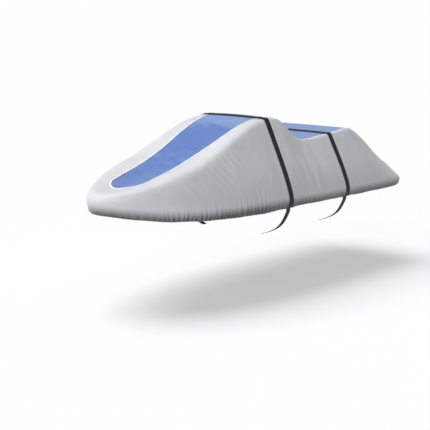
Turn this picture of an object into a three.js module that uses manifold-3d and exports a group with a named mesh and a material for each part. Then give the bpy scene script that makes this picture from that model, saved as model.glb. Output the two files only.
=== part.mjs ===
// A fitted cover for a personal watercraft: a grey woven shell with a blue hood panel and a blue
// seat panel set into it, and two black webbing straps over the top, down both sides and under.
// Millimetres, +Z up, bow towards -X, stern towards +X, port side at -Y. The origin lies on the
// centre plane, on the inner face of the cloth over the console, where the craft carries the cover.

import * as THREE from 'three';
import { mergeVertices } from 'three/addons/utils/BufferGeometryUtils.js';
import Module from 'manifold-3d';

// Driving dimensions.
const CLOTH = 2;
const SEAM_GAP = 0.3;
const WEBBING_WIDTH = 50;
const WEBBING = 2;
const WEBBING_GAP = 0.3;
const ORIGIN_STATION = 1650;
const FRONT_STRAP_STATION = 1588;
const REAR_STRAP_STATION = 2355;
const PANEL_SEAM_STATION = 1930;

// One row for each section of the port half. X runs aft from just ahead of the bow and Z up from the
// gunwale amidships. A section is an upright plane from a point of the crown line (crownX, crownZ)
// to a point of the gunwale (gunwaleX, gunwaleY, gunwaleZ). The sections fan out round the bow and
// the stern, and lie straight across between them. edge is how far from the crown line the top turns
// down into the side, edgeZ its height, corner how wide that turn is, bulge how far the side swells.
const SECTION_COLUMNS = [
  'crownX', 'crownZ', 'gunwaleX', 'gunwaleY', 'gunwaleZ', 'edge', 'edgeZ', 'corner', 'bulge',
];
const SECTION_ROWS = [
  [370, 181, 88, 0, 78, 270, 149, 104, 6],
  [408, 187, 130, 134, 72, 296, 165, 106, 6],
  [500, 206, 262, 260, 50, 332, 194, 106, 6],
  [625, 243, 425, 354, 28, 362, 244, 104, 8],
  [765, 292, 622, 429, 11, 374, 297, 100, 10],
  [910, 350, 826, 483, 1, 377, 356, 100, 12],
  [1060, 411, 1012, 521, -5, 376, 422, 97, 14],
  [1210, 476, 1182, 549, -6, 370, 490, 89, 14],
  [1345, 533, 1330, 566, -6, 358, 543, 74, 14],
  [1460, 570, 1455, 574, -4, 343, 573, 54, 14],
  [1560, 594, 1560, 575, -2, 333, 590, 40, 14],
  [1640, 601, 1640, 575, -1, 334, 595, 36, 14],
  [1710, 590, 1710, 575, 0, 337, 587, 42, 14],
  [1765, 565, 1765, 575, -1, 340, 565, 50, 14],
  [1830, 516, 1830, 575, -2, 343, 512, 50, 14],
  [1900, 458, 1900, 575, -3, 350, 451, 44, 12],
  [1980, 413, 1980, 575, -5, 362, 405, 36, 12],
  [2090, 400, 2090, 575, -6, 372, 397, 30, 12],
  [2260, 412, 2260, 575, -7, 379, 409, 30, 12],
  [2450, 428, 2450, 575, -9, 382, 425, 30, 12],
  [2620, 440, 2640, 574, -11, 385, 437, 34, 12],
  [2710, 406, 2770, 573, -12, 388, 393, 52, 10],
  [2800, 343, 2895, 570, -14, 390, 322, 66, 5],
  [2900, 270, 3015, 566, -15, 393, 239, 76, -1],
  [2985, 209, 3115, 559, -16, 399, 166, 80, -5],
  [3050, 163, 3200, 537, -17, 406, 112, 78, -8],
  [3090, 136, 3248, 450, -18, 356, 84, 62, -8],
  [3105, 126, 3258, 240, -18, 190, 80, 46, -8],
  [3108, 124, 3260, 0, -18, 96, 78, 40, -6],
];

// How a section's top rounds off from the crown line: at this share of the way to the edge it has
// fallen by this share of the height between them. The turn takes at most the last share of a side.
const CROWN_SHARE = 0.45;
const CROWN_FALL = 0.16;
const TURN_SHARE = 0.3;

// Where a side swells, as shares of its length, and how much of its bulge it has there.
const SWELL_COLUMNS = ['share', 'size'];
const SWELL_ROWS = [
  [0.5, 1.0],
  [0.8, 1.2],
];

// Below the gunwale the cloth turns in under the craft's widest line and ends at the hem. Distances
// outwards and downwards from the gunwale point.
const HEM_COLUMNS = ['out', 'drop'];
const HEM_ROWS = [
  [4, -2],
  [1, 43],
  [-14, 69],
  [-32, 78],
];

// Half-breadths of the two blue panels, seen from above. The hood panel starts in a round tip near
// the bow and widens to the seat. The seat panel meets it there and ends just behind the crest, in
// round corners and along the section that crosses the crown line at its last station.
const HOOD_OUTLINE_COLUMNS = ['station', 'halfBreadth'];
const HOOD_OUTLINE_ROWS = [
  [262, 0],
  [268, 32],
  [285, 64],
  [314, 98],
  [352, 127],
  [402, 145],
  [560, 156],
  [700, 165],
  [850, 177],
  [1000, 194],
  [1150, 212],
  [1300, 223],
  [1450, 232],
  [1576, 248],
  [1660, 264],
  [1750, 284],
  [1850, 315],
  [PANEL_SEAM_STATION, 341],
];
const SEAT_OUTLINE_COLUMNS = ['station', 'halfBreadth'];
const SEAT_OUTLINE_ROWS = [
  [PANEL_SEAM_STATION, 341],
  [1985, 353],
  [2090, 360],
  [2260, 366],
  [2450, 369],
  [2600, 369],
  [2650, 366],
  [2690, 354],
  [2718, 332],
  [2732, 296],
  [2717, 150],
  [2702, 0],
];
const OUTLINE_STEPS_PER_ROW = 3;

// How a strap runs on below the hem, in its own upright plane: out from the centre plane and up.
const TAIL_COLUMNS = ['out', 'up'];
const TAIL_ROWS = [
  [541, -104],
  [532, -126],
  [507, -172],
  [478, -212],
  [442, -244],
  [397, -270],
  [345, -292],
  [300, -306],
];
const TAIL_STEPS = 12;

// Ribs along the shell, as even runs of stations counted in section rows, closest where the cloth is
// gathered. A strap has ribs of its own at either edge and along its middle, so that webbing and
// cloth share their facets, and no other rib lies nearer to them than the clearance.
const RIB_COLUMNS = ['until', 'steps'];
const RIB_ROWS = [
  [4, 19],
  [9, 24],
  [24, 30],
  [28, 10],
];
const RIB_CLEARANCE = 0.22;
const STRAP_RIBS = [-WEBBING_WIDTH / 2, 0, WEBBING_WIDTH / 2];

// Steps from the crown line to the hem, counted in control points of a section's curve.
const GIRTH_STEPS = [0, 1.3, 2.2, 2.7, 3.2, 3.7, 4.5, 5.6, 6.5, 7.1, 7.7, 8.5, 10];
const HEM_STEP = 10;

// Gathers: the hem's elastic draws the cloth into uneven upright puckers, deepest from the bow
// quarter to the console. A row is a station, their depth in millimetres, and how many steps they
// reach up from the fullest step. The hem itself holds them a little flatter.
const PUCKER_COLUMNS = ['station', 'depth', 'reach'];
const PUCKER_ROWS = [
  [0.0, 0.0, 0.8],
  [2.4, 0.7, 1.4],
  [4.0, 2.6, 2.4],
  [6.5, 3.4, 2.8],
  [8.6, 2.6, 2.4],
  [9.6, 1.0, 1.8],
  [12.0, 0.5, 1.3],
  [15.0, 1.4, 1.8],
  [19.0, 0.7, 1.3],
  [22.0, 0.4, 1.3],
  [28.0, 0.0, 0.8],
];
const PUCKER_FULL_STEP = 8.2;
const PUCKER_AT_HEM = 0.8;
const PUCKER_MEAN = 0.75;
const PUCKER_SPREAD_COLUMNS = ['size', 'pace', 'side'];
const PUCKER_SPREAD_ROWS = [
  [0.4, 2.1, 1],
  [0.3, 4.7, -1],
];

// Side waves: slack below the dip between console and seat hangs in soft upright waves, which start
// below the turn and end above the gunwale.
const WAVE_COLUMNS = ['station', 'depth'];
const WAVE_ROWS = [
  [12.6, 0.0],
  [14.0, 1.6],
  [15.6, 3.2],
  [16.8, 3.4],
  [17.8, 2.2],
  [18.6, 0.6],
  [19.4, 0.0],
];
const WAVE_TOP = { from: 3.2, to: 5.0 };
const WAVE_FOOT = { from: 6.2, to: 8.0 };
const WAVE_PACE = 4.4;
const WAVE_SHIFT = 0.8;

// Distances in section rows over which the crown line's slope is taken, and where amidships lies.
const SLOPE_STEP = 0.1;
const AMIDSHIPS = 10;

const GREY_CLOTH = new THREE.MeshStandardMaterial({ color: 0xb4b5b9, roughness: 0.72, metalness: 0 });
const BLUE_CLOTH = new THREE.MeshStandardMaterial({ color: 0x6f8fd0, roughness: 0.72, metalness: 0 });
const BLACK_WEBBING = new THREE.MeshStandardMaterial({ color: 0x2c2e2e, roughness: 0.6, metalness: 0 });

function table(columns, rows) {
  return rows.map((row) => Object.fromEntries(columns.map((name, i) => [name, row[i]])));
}

const SECTIONS = table(SECTION_COLUMNS, SECTION_ROWS);
const SWELLS = table(SWELL_COLUMNS, SWELL_ROWS);
const HEM = table(HEM_COLUMNS, HEM_ROWS);
const HOOD_OUTLINE = table(HOOD_OUTLINE_COLUMNS, HOOD_OUTLINE_ROWS);
const SEAT_OUTLINE = table(SEAT_OUTLINE_COLUMNS, SEAT_OUTLINE_ROWS);
const TAIL = table(TAIL_COLUMNS, TAIL_ROWS);
const RIB_RUNS = table(RIB_COLUMNS, RIB_ROWS);
const PUCKERS = table(PUCKER_COLUMNS, PUCKER_ROWS);
const PUCKER_SPREAD = table(PUCKER_SPREAD_COLUMNS, PUCKER_SPREAD_ROWS);
const WAVES = table(WAVE_COLUMNS, WAVE_ROWS);

// A value on a straight line between the rows of a table, by one of its columns.
function between(rows, by, value, name) {
  const last = rows.length - 1;
  let i = 0;
  while (i < last - 1 && rows[i + 1][by] < value) i += 1;
  const along = THREE.MathUtils.clamp((value - rows[i][by]) / (rows[i + 1][by] - rows[i][by]), 0, 1);
  return THREE.MathUtils.lerp(rows[i][name], rows[i + 1][name], along);
}

// A section at any station. Past the bow and the stern the rows repeat in mirror image, so the
// shell crosses the centre plane squarely at both ends.
function sectionAt(station) {
  const last = SECTIONS.length - 1;
  const i = Math.min(Math.floor(station), last - 1);
  const w = station - i;
  const section = {};
  for (const name of SECTION_COLUMNS) {
    const mirror = name === 'gunwaleY' ? -1 : 1;
    const p1 = SECTIONS[i][name];
    const p2 = SECTIONS[i + 1][name];
    const p0 = i > 0 ? SECTIONS[i - 1][name] : mirror * p2;
    const p3 = i + 2 <= last ? SECTIONS[i + 2][name] : mirror * p1;
    const m1 = (p2 - p0) / 2;
    const m2 = (p3 - p1) / 2;
    section[name] = (2 * w ** 3 - 3 * w ** 2 + 1) * p1 + (w ** 3 - 2 * w ** 2 + w) * m1
      + (3 * w ** 2 - 2 * w ** 3) * p2 + (w ** 3 - w ** 2) * m2;
  }
  return section;
}

// The station whose section crosses the centre line at a given distance aft.
function stationAt(crownX) {
  let low = 0;
  let high = SECTIONS.length - 1;
  for (let k = 0; k < 40; k += 1) {
    const middle = (low + high) / 2;
    if (sectionAt(middle).crownX < crownX) low = middle;
    else high = middle;
  }
  return (low + high) / 2;
}

// The slope of the crown line, taken over a short step towards amidships.
function crownSlope(station) {
  const here = sectionAt(station);
  const next = sectionAt(station + (station < AMIDSHIPS ? SLOPE_STEP : -SLOPE_STEP));
  return (next.crownZ - here.crownZ) / (next.crownX - here.crownX);
}

// Control points of a section's curve, as distance out from the crown line and height. It leaves
// the crown line with that line's own slope, so port and starboard meet smoothly.
function sectionCurve(station) {
  const section = sectionAt(station);
  const { crownX, crownZ, gunwaleX, gunwaleY, gunwaleZ, edge, edgeZ, corner, bulge } = section;
  const beam = Math.hypot(gunwaleX - crownX, gunwaleY);
  const aft = (gunwaleX - crownX) / beam;
  const out = gunwaleY / beam;
  const side = new THREE.Vector2(beam - edge, gunwaleZ - edgeZ);
  const sideLength = side.length();
  side.normalize();
  const outward = new THREE.Vector2(-side.y, side.x);
  const top = new THREE.Vector2(edge, edgeZ - crownZ).normalize();
  const turn = new THREE.Vector2(edge, edgeZ);
  const shoulder = new THREE.Vector2(edge * CROWN_SHARE, crownZ - (crownZ - edgeZ) * CROWN_FALL);
  const points = [
    new THREE.Vector2(-shoulder.x, shoulder.y - 2 * crownSlope(station) * aft * shoulder.x),
    new THREE.Vector2(0, crownZ),
    shoulder,
    turn.clone().addScaledVector(top, -corner),
    turn,
    turn.clone().addScaledVector(side, Math.min(corner, sideLength * TURN_SHARE)),
    ...SWELLS.map(({ share, size }) => turn.clone()
      .addScaledVector(side, sideLength * share)
      .addScaledVector(outward, bulge * size)),
    ...HEM.map((row) => new THREE.Vector2(beam + row.out, gunwaleZ - row.drop)),
  ];
  const last = points.length - 1;
  points.push(points[last].clone().multiplyScalar(2).sub(points[last - 1]));
  return { points, crownX, aft, out };
}

// A point of the outer face on the port side: a smooth curve drawn by the control points.
function shellPoint(station, step) {
  const { points, crownX, aft, out } = sectionCurve(station);
  const i = Math.min(Math.floor(step), HEM_STEP - 1);
  const w = step - i;
  const weights = [
    (1 - w) ** 3, 3 * w ** 3 - 6 * w ** 2 + 4, -3 * w ** 3 + 3 * w ** 2 + 3 * w + 1, w ** 3,
  ];
  const place = new THREE.Vector2();
  weights.forEach((weight, k) => place.addScaledVector(points[i + k], weight / 6));
  return new THREE.Vector3(crownX + aft * place.x, -out * place.x, place.y);
}

const LIFT = shellPoint(stationAt(ORIGIN_STATION), 0).z - CLOTH;

// From the bow and gunwale measures above to the part's own frame.
function toPartFrame(point) {
  return new THREE.Vector3(point.x - ORIGIN_STATION, point.y, point.z - LIFT);
}

// The stations of all ribs, in order: even runs, with the straps' own stations between them.
function ribStations() {
  const strapStations = [FRONT_STRAP_STATION, REAR_STRAP_STATION]
    .flatMap((middle) => STRAP_RIBS.map((shift) => stationAt(middle + shift)));
  const even = [0];
  for (const { until, steps } of RIB_RUNS) {
    const from = even[even.length - 1];
    for (let k = 1; k <= steps; k += 1) even.push(from + ((until - from) * k) / steps);
  }
  const clear = (station) => strapStations.every((s) => Math.abs(s - station) > RIB_CLEARANCE);
  return [...even.filter(clear), ...strapStations].sort((a, b) => a - b);
}

// How far a rib stands out from the smooth shell at a step. The gathers swing from rib to rib, with
// an uneven size, and die away upwards; the side waves are broader.
function relief(station, rib, step, side) {
  const { smoothstep } = THREE.MathUtils;
  const depth = between(PUCKERS, 'station', station, 'depth');
  const reach = between(PUCKERS, 'station', station, 'reach');
  let size = PUCKER_MEAN;
  for (const wave of PUCKER_SPREAD) size += wave.size * Math.sin(wave.pace * rib + wave.side * side);
  const swing = rib % 2 === 0 ? 1 : -1;
  const hold = step === HEM_STEP ? PUCKER_AT_HEM : 1;
  const gather = swing * depth * size * hold * smoothstep(step, PUCKER_FULL_STEP - reach, PUCKER_FULL_STEP);
  const hang = smoothstep(step, WAVE_TOP.from, WAVE_TOP.to)
    * (1 - smoothstep(step, WAVE_FOOT.from, WAVE_FOOT.to));
  const slack = between(WAVES, 'station', station, 'depth') * hang;
  return gather + slack * Math.sin(WAVE_PACE * station + WAVE_SHIFT * side);
}

// The whole outer face as a grid: a row for each rib, from the port hem over the crown line to the
// starboard hem. The first and last rows fold together at the stem and the stern.
function shellGrid() {
  const stations = ribStations();
  const columns = [
    ...GIRTH_STEPS.slice(1).reverse().map((step) => ({ step, side: -1 })),
    ...GIRTH_STEPS.map((step) => ({ step, side: 1 })),
  ];
  const smooth = stations.map((station) => columns.map(({ step, side }) => {
    const point = shellPoint(station, step);
    point.y *= -side;
    return toPartFrame(point);
  }));
  const normals = gridNormals(smooth);
  const points = smooth.map((row, i) => row.map((point, j) => {
    const { step, side } = columns[j];
    const onCentre = i === 0 || i === stations.length - 1;
    const out = onCentre ? 0 : relief(stations[i], i, step, side);
    return point.clone().addScaledVector(normals[i][j], out);
  }));
  return { stations, points, normals: gridNormals(points) };
}

// Triangles between the rows of a grid, facing outwards.
function gridFaces(rows, columns) {
  const faces = [];
  for (let i = 0; i < rows - 1; i += 1) {
    for (let j = 0; j < columns - 1; j += 1) {
      const a = i * columns + j;
      const b = a + 1;
      const c = a + columns;
      const d = c + 1;
      if ((i + j) % 2 === 0) faces.push([a, d, b], [a, c, d]);
      else faces.push([a, c, b], [b, c, d]);
    }
  }
  return faces;
}

// Outward directions at the points of a grid, from the faces that meet there. On the first and last
// rows each point coincides with its mirror partner, so both get the sum of the two.
function gridNormals(grid) {
  const columns = grid[0].length;
  const points = grid.flat();
  const normals = points.map(() => new THREE.Vector3());
  for (const corners of gridFaces(grid.length, columns)) {
    const [a, b, c] = corners.map((k) => points[k]);
    const face = b.clone().sub(a).cross(c.clone().sub(a));
    for (const k of corners) normals[k].add(face);
  }
  for (const start of [0, (grid.length - 1) * columns]) {
    for (let j = 0; j <= (columns - 1) / 2; j += 1) {
      const sum = normals[start + j].clone().add(normals[start + columns - 1 - j]);
      normals[start + j].copy(sum);
      normals[start + columns - 1 - j].copy(sum);
    }
  }
  return grid.map((row, i) => row.map((_, j) => normals[i * columns + j].normalize()));
}

// One closed body with shared corners and no triangle without area.
function closedGeometry(points, faces) {
  const loose = new THREE.BufferGeometry().setFromPoints(points);
  loose.setIndex(faces.flat());
  const merged = mergeVertices(loose, 1e-3);
  const index = merged.getIndex().array;
  const kept = [];
  for (let k = 0; k < index.length; k += 3) {
    const [a, b, c] = [index[k], index[k + 1], index[k + 2]];
    if (a !== b && b !== c && c !== a) kept.push(a, b, c);
  }
  merged.setIndex(kept);
  return merged;
}

// A closed sheet between two faces of the same grid, with a wall along each free edge.
function sheetBetween(outer, inner, foldedEnds) {
  const rows = outer.length;
  const columns = outer[0].length;
  const count = rows * columns;
  const faces = gridFaces(rows, columns);
  const closed = [...faces, ...faces.map(([a, b, c]) => [a + count, c + count, b + count])];
  const wall = (a, b) => closed.push([a, a + count, b], [b, a + count, b + count]);
  for (let i = 0; i < rows - 1; i += 1) {
    wall(i * columns, (i + 1) * columns);
    wall((i + 2) * columns - 1, (i + 1) * columns - 1);
  }
  if (!foldedEnds) {
    for (let j = 0; j < columns - 1; j += 1) {
      wall(j + 1, j);
      wall((rows - 1) * columns + j, (rows - 1) * columns + j + 1);
    }
  }
  return closedGeometry([...outer.flat(), ...inner.flat()], closed);
}

function offset(grid, normals, distance) {
  return grid.map((row, i) => row.map((p, j) => p.clone().addScaledVector(normals[i][j], distance)));
}

const GRID = shellGrid();

// The shell's cloth as one sheet, before the panels' windows are cut into it.
function wholeShell() {
  return sheetBetween(GRID.points, offset(GRID.points, GRID.normals, -CLOTH), true);
}

// Webbing across the cover at one station, just off the cloth, with a tail past each hem.
function strapGeometry(middle) {
  const ribs = STRAP_RIBS.map((shift) => GRID.stations.indexOf(stationAt(middle + shift)));
  const ribPoints = ribs.map((rib) => GRID.points[rib]);
  const ribNormals = ribs.map((rib) => GRID.normals[rib]);
  const under = offset(ribPoints, ribNormals, WEBBING_GAP);
  const over = offset(ribPoints, ribNormals, WEBBING_GAP + WEBBING);
  const path = new THREE.SplineCurve(TAIL.map(({ out, up }) => new THREE.Vector2(out, up)));
  for (let k = 0; k <= TAIL_STEPS; k += 1) {
    const place = path.getPoint(k / TAIL_STEPS);
    const along = path.getTangent(k / TAIL_STEPS);
    const outward = new THREE.Vector2(-along.y, along.x);
    ribPoints.forEach((rib, i) => {
      for (const [face, rows] of [[0, under], [WEBBING, over]]) {
        const { x, y } = place.clone().addScaledVector(outward, face);
        rows[i].unshift(new THREE.Vector3(rib[0].x, -x, y - LIFT));
        rows[i].push(new THREE.Vector3(rib[0].x, x, y - LIFT));
      }
    });
  }
  return sheetBetween(over, under, false);
}

// Moves each side of a closed loop inwards by the same distance.
function insetLoop(loop, inset) {
  const count = loop.length;
  return loop.map((point, k) => {
    const before = loop[(k + count - 1) % count];
    const after = loop[(k + 1) % count];
    const first = point.clone().sub(before).normalize();
    const second = after.clone().sub(point).normalize();
    const inward = new THREE.Vector2(-first.y - second.y, first.x + second.x).normalize();
    const reach = inset / Math.max(0.5, inward.dot(new THREE.Vector2(-first.y, first.x)));
    return point.clone().addScaledVector(inward, reach);
  });
}

// The plan of a panel from a table of half-breadths: its port edge, then the starboard edge back.
function panelShape(outline, inset) {
  const port = outline.map((row) => new THREE.Vector2(row.station - ORIGIN_STATION, -row.halfBreadth));
  const half = new THREE.SplineCurve(port).getPoints(outline.length * OUTLINE_STEPS_PER_ROW);
  const mirrored = half.filter((point) => point.y < 0)
    .map((point) => new THREE.Vector2(point.x, -point.y))
    .reverse();
  return new THREE.Shape(insetLoop([...half, ...mirrored], inset));
}

// An upright prism on a panel's plan, taller than the shell.
function panelPrism(outline, inset) {
  const depth = LIFT + 2 * WEBBING_WIDTH;
  const prism = new THREE.ExtrudeGeometry(panelShape(outline, inset), { depth, bevelEnabled: false });
  return prism.translate(0, 0, WEBBING_WIDTH - depth);
}

const manifold = await Module();
manifold.setup();

function solidOf(geometry) {
  const bare = geometry.clone();
  bare.deleteAttribute('normal');
  bare.deleteAttribute('uv');
  const merged = mergeVertices(bare, 1e-4);
  return new manifold.Manifold(new manifold.Mesh({
    numProp: 3,
    vertProperties: Float32Array.from(merged.getAttribute('position').array),
    triVerts: Uint32Array.from(merged.getIndex().array),
  }));
}

function geometryFrom(solid) {
  const mesh = solid.getMesh();
  const geometry = new THREE.BufferGeometry();
  geometry.setAttribute('position', new THREE.BufferAttribute(Float32Array.from(mesh.vertProperties), 3));
  geometry.setIndex(new THREE.BufferAttribute(Uint32Array.from(mesh.triVerts), 1));
  geometry.computeVertexNormals();
  return geometry;
}

function namedMesh(name, geometry, material) {
  const mesh = new THREE.Mesh(geometry, material);
  mesh.name = name;
  return mesh;
}

const shell = solidOf(wholeShell());
const hoodWindow = solidOf(panelPrism(HOOD_OUTLINE, 0));
const seatWindow = solidOf(panelPrism(SEAT_OUTLINE, 0));
const bodyCloth = shell.subtract(hoodWindow).subtract(seatWindow);
const hoodPanel = shell.intersect(solidOf(panelPrism(HOOD_OUTLINE, SEAM_GAP)));
const seatPanel = shell.intersect(solidOf(panelPrism(SEAT_OUTLINE, SEAM_GAP)));

const cover = new THREE.Group();
cover.add(namedMesh('body_cloth', geometryFrom(bodyCloth), GREY_CLOTH));
cover.add(namedMesh('hood_panel', geometryFrom(hoodPanel), BLUE_CLOTH));
cover.add(namedMesh('seat_panel', geometryFrom(seatPanel), BLUE_CLOTH));
cover.add(namedMesh('front_strap', strapGeometry(FRONT_STRAP_STATION), BLACK_WEBBING));
cover.add(namedMesh('rear_strap', strapGeometry(REAR_STRAP_STATION), BLACK_WEBBING));

export default cover;
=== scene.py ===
"""A fitted cover for a personal watercraft: grey woven shell, blue hood and seat panels with light
piping round them, two black webbing straps, and the studio floor and light that show them.

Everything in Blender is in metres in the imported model's frame. The tables give the cover's
measures in millimetres, X aft from just ahead of the bow and Z up from the gunwale amidships.
"""

import functools
import math

import bpy
import numpy as np
from bpy.props import FloatProperty, FloatVectorProperty, PointerProperty
from mathutils import Matrix, Vector


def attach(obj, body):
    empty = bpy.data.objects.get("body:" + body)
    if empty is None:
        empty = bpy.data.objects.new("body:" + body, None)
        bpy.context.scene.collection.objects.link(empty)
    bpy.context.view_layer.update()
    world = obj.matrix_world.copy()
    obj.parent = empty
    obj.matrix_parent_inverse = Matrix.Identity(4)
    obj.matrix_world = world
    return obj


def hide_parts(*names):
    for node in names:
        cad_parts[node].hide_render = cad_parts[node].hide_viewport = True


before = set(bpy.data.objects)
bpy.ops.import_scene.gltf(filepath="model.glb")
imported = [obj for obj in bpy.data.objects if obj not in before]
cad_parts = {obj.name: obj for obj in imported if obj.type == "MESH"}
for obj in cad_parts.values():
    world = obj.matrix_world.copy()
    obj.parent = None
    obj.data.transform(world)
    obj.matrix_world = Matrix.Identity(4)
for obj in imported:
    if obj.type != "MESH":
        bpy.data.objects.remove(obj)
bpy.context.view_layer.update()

bl_info = {
    "name": "Personal watercraft cover",
    "version": (1, 0, 0),
    "blender": (4, 5, 0),
    "location": "View3D > Sidebar > Cover",
    "description": "Builds a fitted cloth cover with gathers, piping and webbing straps",
    "category": "Object",
}

MM = 0.001

# Places along the crown line: the origin, the middles of the straps, the cross seam between the
# blue panels, and their rear end.
ORIGIN_X = 1650
FRONT_STRAP_X = 1588
REAR_STRAP_X = 2355
PANEL_SEAM_X = 1930
PANEL_END_X = 2702
# Thickness of the cloth in the solids.
CLOTH_IN_SOLIDS = 2

# Sections from bow to stern: crown X and Z, gunwale X, Y and Z, how far out and how high the edge
# of the shoulder lies, how far from the edge its turn begins, and how far the side swells. They are
# the solids' sections, with the bow, the shoulder and the stern corner matched closer to the photo.
SECTIONS = np.array([
    [370, 182, 88, 0, 78, 262, 157, 104, 15],
    [408, 188, 130, 134, 72, 289, 173, 102, 16],
    [500, 207, 262, 260, 50, 324, 200, 98, 17],
    [625, 243, 425, 354, 28, 360, 247, 96, 17],
    [765, 293, 622, 429, 11, 380, 296, 102, 16],
    [910, 350, 826, 483, 1, 372, 356, 98, 16],
    [1060, 411, 1012, 521, -5, 357, 427, 84, 17],
    [1210, 476, 1182, 549, -6, 349, 494, 66, 17],
    [1345, 533, 1330, 566, -6, 344, 545, 52, 15],
    [1460, 570, 1455, 574, -4, 333, 573, 42, 15],
    [1560, 594, 1560, 575, -2, 322, 590, 36, 14],
    [1640, 601, 1640, 575, -1, 326, 595, 34, 14],
    [1710, 590, 1710, 575, 0, 337, 587, 42, 14],
    [1765, 565, 1765, 575, -1, 340, 565, 50, 14],
    [1830, 516, 1830, 575, -2, 343, 512, 50, 14],
    [1900, 458, 1900, 575, -3, 350, 451, 44, 12],
    [1980, 413, 1980, 575, -5, 362, 405, 36, 12],
    [2090, 400, 2090, 575, -6, 372, 397, 30, 12],
    [2260, 412, 2260, 575, -7, 379, 409, 30, 12],
    [2450, 428, 2450, 575, -9, 382, 425, 30, 12],
    [2620, 440, 2640, 574, -11, 385, 437, 34, 12],
    [2710, 406, 2770, 573, -12, 388, 393, 52, 10],
    [2800, 343, 2895, 570, -14, 390, 322, 66, 5],
    [2900, 270, 3015, 566, -15, 393, 239, 76, -1],
    [2985, 209, 3115, 559, -16, 399, 165, 80, -4],
    [3050, 163, 3200, 537, -17, 406, 113, 76, -2],
    [3090, 138, 3248, 450, -18, 360, 90, 60, 0],
    [3105, 129, 3258, 240, -18, 194, 85, 46, 0],
    [3108, 127, 3260, 0, -18, 98, 83, 40, 0],
], float)
# What turns a section, and a point, into its mirror image in the centre plane.
SECTION_MIRROR = np.array([1, 1, 1, -1, 1, 1, 1, 1, 1])
ACROSS = np.array([1, -1, 1])
LAST_SECTION = len(SECTIONS) - 1
# Number of the section that the cloth's pattern is measured from.
AMIDSHIPS = 10

# Between crown and shoulder edge each section has one more point, at these shares of the way out
# and of the way down. The shoulder's turn takes at most this share of the side below it.
CROWN_SHARE = 0.45
CROWN_FALL = 0.16
TURN_SHARE = 0.42
# Points on the side: their share of its length, and the share of the swell that each has.
SWELLS = [(0.5, 1.0), (0.8, 1.2)]
# The hem's way under the gunwale: out and down from it.
HEM_TURN = [(4, -2), (1, 43), (-14, 69), (-32, 78)]
# Steps along a section's curve at which the top ends, the gunwale lies and the hem ends.
TOP_STEP = 4.5
GUNWALE_STEP = 8
HEM_STEP = 10
# How far apart sections are taken to measure the crown line's slope and the cloth's directions.
SLOPE_STEP = 0.1
NORMAL_STEP = 0.02

# Plan of the blue panels' port edge: X and half-breadth, from the tip to the rear corner.
HOOD_OUTLINE = [
    (270, 0), (276, 33), (292, 66), (318, 101), (355, 132), (404, 153), (560, 167), (700, 173),
    (850, 181), (1000, 194), (1150, 212), (1300, 223), (1450, 235), (1576, 254), (1660, 270),
    (1750, 288), (1850, 316), (1930, 341),
]
SEAT_OUTLINE = [
    (1930, 341), (1985, 353), (2090, 360), (2260, 366), (2450, 369), (2600, 369), (2650, 366),
    (2690, 354), (2718, 332), (2732, 296),
]

# A strap's way below the hem: out from the centre plane and up.
STRAP_TAIL = [
    (541, -104), (532, -126), (507, -172), (478, -212), (442, -244), (397, -270), (345, -292),
    (300, -306),
]

# Spacing of the mesh's rows at places along the gunwale from the stem.
ROW_SPACING = [
    (0, 12.0), (420, 8.0), (500, 6.8), (1380, 6.8), (1560, 8.0), (1750, 8.0), (2250, 9.5),
    (2400, 15.0), (2600, 13.0), (2680, 9.5), (2850, 9.5), (3000, 17.0), (3900, 15.0),
]

# Columns of the cloth's mesh, as distances from the panels' seam and from the hem, and how many
# lie over a panel and down a side. Then the steps that girths and rows are measured in.
SEAM_OFFSETS = np.array([0.3, 3, 7, 12, 20])
HEM_OFFSETS = np.array([60, 50, 42, 34, 27, 20, 14, 9, 5, 2, 0])
PANEL_COLUMNS = 15
INNER_COLUMNS = PANEL_COLUMNS - 1 + len(SEAM_OFFSETS)
SIDE_COLUMNS = 40
SECTION_STEPS = np.linspace(0, HEM_STEP, 24 * HEM_STEP + 1)
RUN_SAMPLES = 4001

# The cloth is evened out this far round the points where its rows meet, fully within the first
# share of that, and by the shape it has outside the second share.
POLE_REACH = 60
POLE_FULL = 0.4
POLE_CORE = 0.15

# Folds, all of them listed one by one. First the gathers that the hem's elastic draws in: zones along
# the gunwale from the stem, with the spacing of the puckers, how far up from the hem they reach,
# and how deep they are. The puckers vary in pitch, depth and reach by the shares below. Their width
# is a share of the spacing, and their lean adds to the fan of their zone.
GATHERS = [
    (90, 460, 50, 90, 2.2),
    (470, 700, 39, 150, 6.0),
    (710, 900, 40, 110, 4.8),
    (900, 1120, 40, 150, 4.2),
    (1130, 1390, 37, 220, 5.6),
    (1400, 1650, 50, 110, 2.6),
    (1770, 2230, 42, 120, 4.4),
    (2300, 2700, 60, 80, 2.2),
    (2900, 3600, 66, 70, 1.8),
]
GATHER_SEEDS = {-1: 11, 1: 16}
PITCH_SPREAD = (0.7, 1.3)
DEPTH_SPREAD = (0.65, 1.1)
REACH_SPREAD = (0.7, 1.15)
WIDTH_SPREAD = (0.2, 0.28)
LEAN_SPREAD = (-0.1, 0.1)
GATHER_FAN = 0.16

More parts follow.
